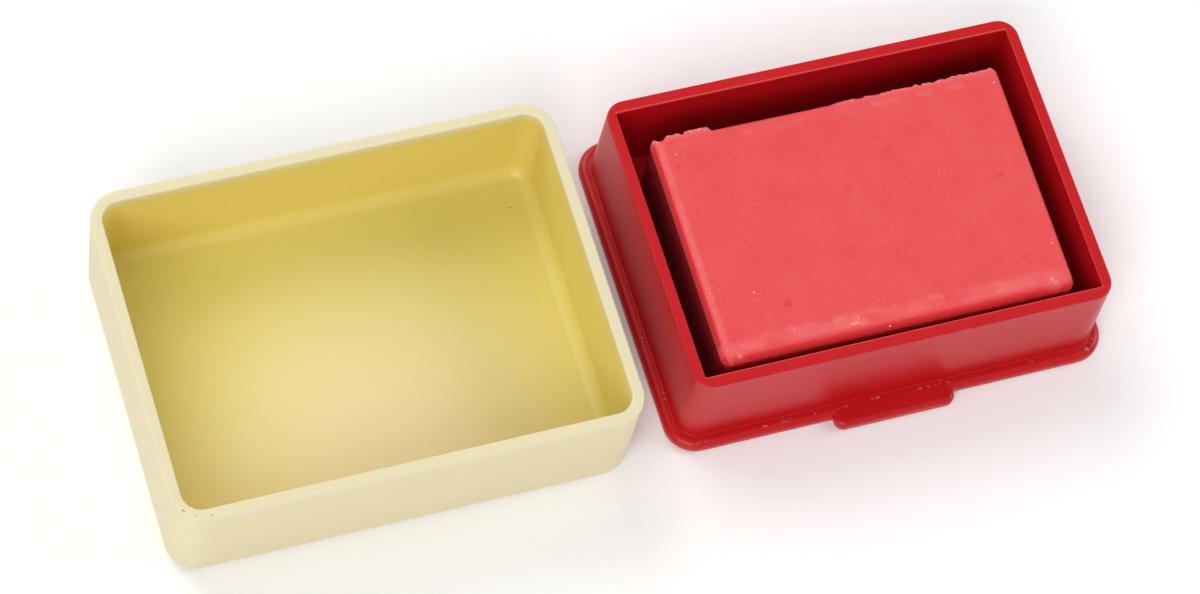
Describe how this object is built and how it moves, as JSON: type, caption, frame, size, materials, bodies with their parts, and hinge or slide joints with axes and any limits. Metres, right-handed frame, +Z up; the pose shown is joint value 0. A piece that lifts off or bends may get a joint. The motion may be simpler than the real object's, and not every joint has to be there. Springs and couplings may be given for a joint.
{
  "type": "ink pad",
  "caption": "Small rectangular ink pad: a raised foam pad bonded into a moulded tray with a base flange and thumb tab, and a moulded lift-off lid lying open beside it.",
  "frame": {"origin": "centre of the tray's flat underside (the middle of its base flange, without the thumb tab)", "axes": "+Z up out of the tray's mouth, +X along the long sides away from the open lid, -Y towards the thumb tab"},
  "size_m": [0.089, 0.0333, 0.0119],
  "materials": {
    "tray_plastic": "moulded red, semi-gloss",
    "lid_plastic": "moulded cream, slightly translucent, semi-gloss",
    "ink_foam": "ink-soaked open-cell foam",
    "ink_face": "fine-celled foam face, matt, damp with pink-red ink",
    "adhesive_film": "thin double-sided film"
  },
  "bodies": {
    "tray": {"tray": "tray_plastic", "pad_adhesive": "adhesive_film", "pad_foam": "ink_foam"},
    "pad_top": {"pad_face": "ink_face"},
    "lid": {"lid": "lid_plastic"}
  },
  "joints": [
    {"name": "lid_turn_over", "type": "hinge", "parent": "tray", "child": "lid", "pos_m": [-0.02315, 0, 0.01105], "axis": [0, 1, 0], "range_deg": [0, 180]},
    {"name": "pad_press", "type": "slide", "parent": "tray", "child": "pad_top", "axis": [0, 0, -1], "range_m": [0, 0.0008], "stiffness_N_per_m": 800, "deforming": ["pad_foam"]}
  ]
}
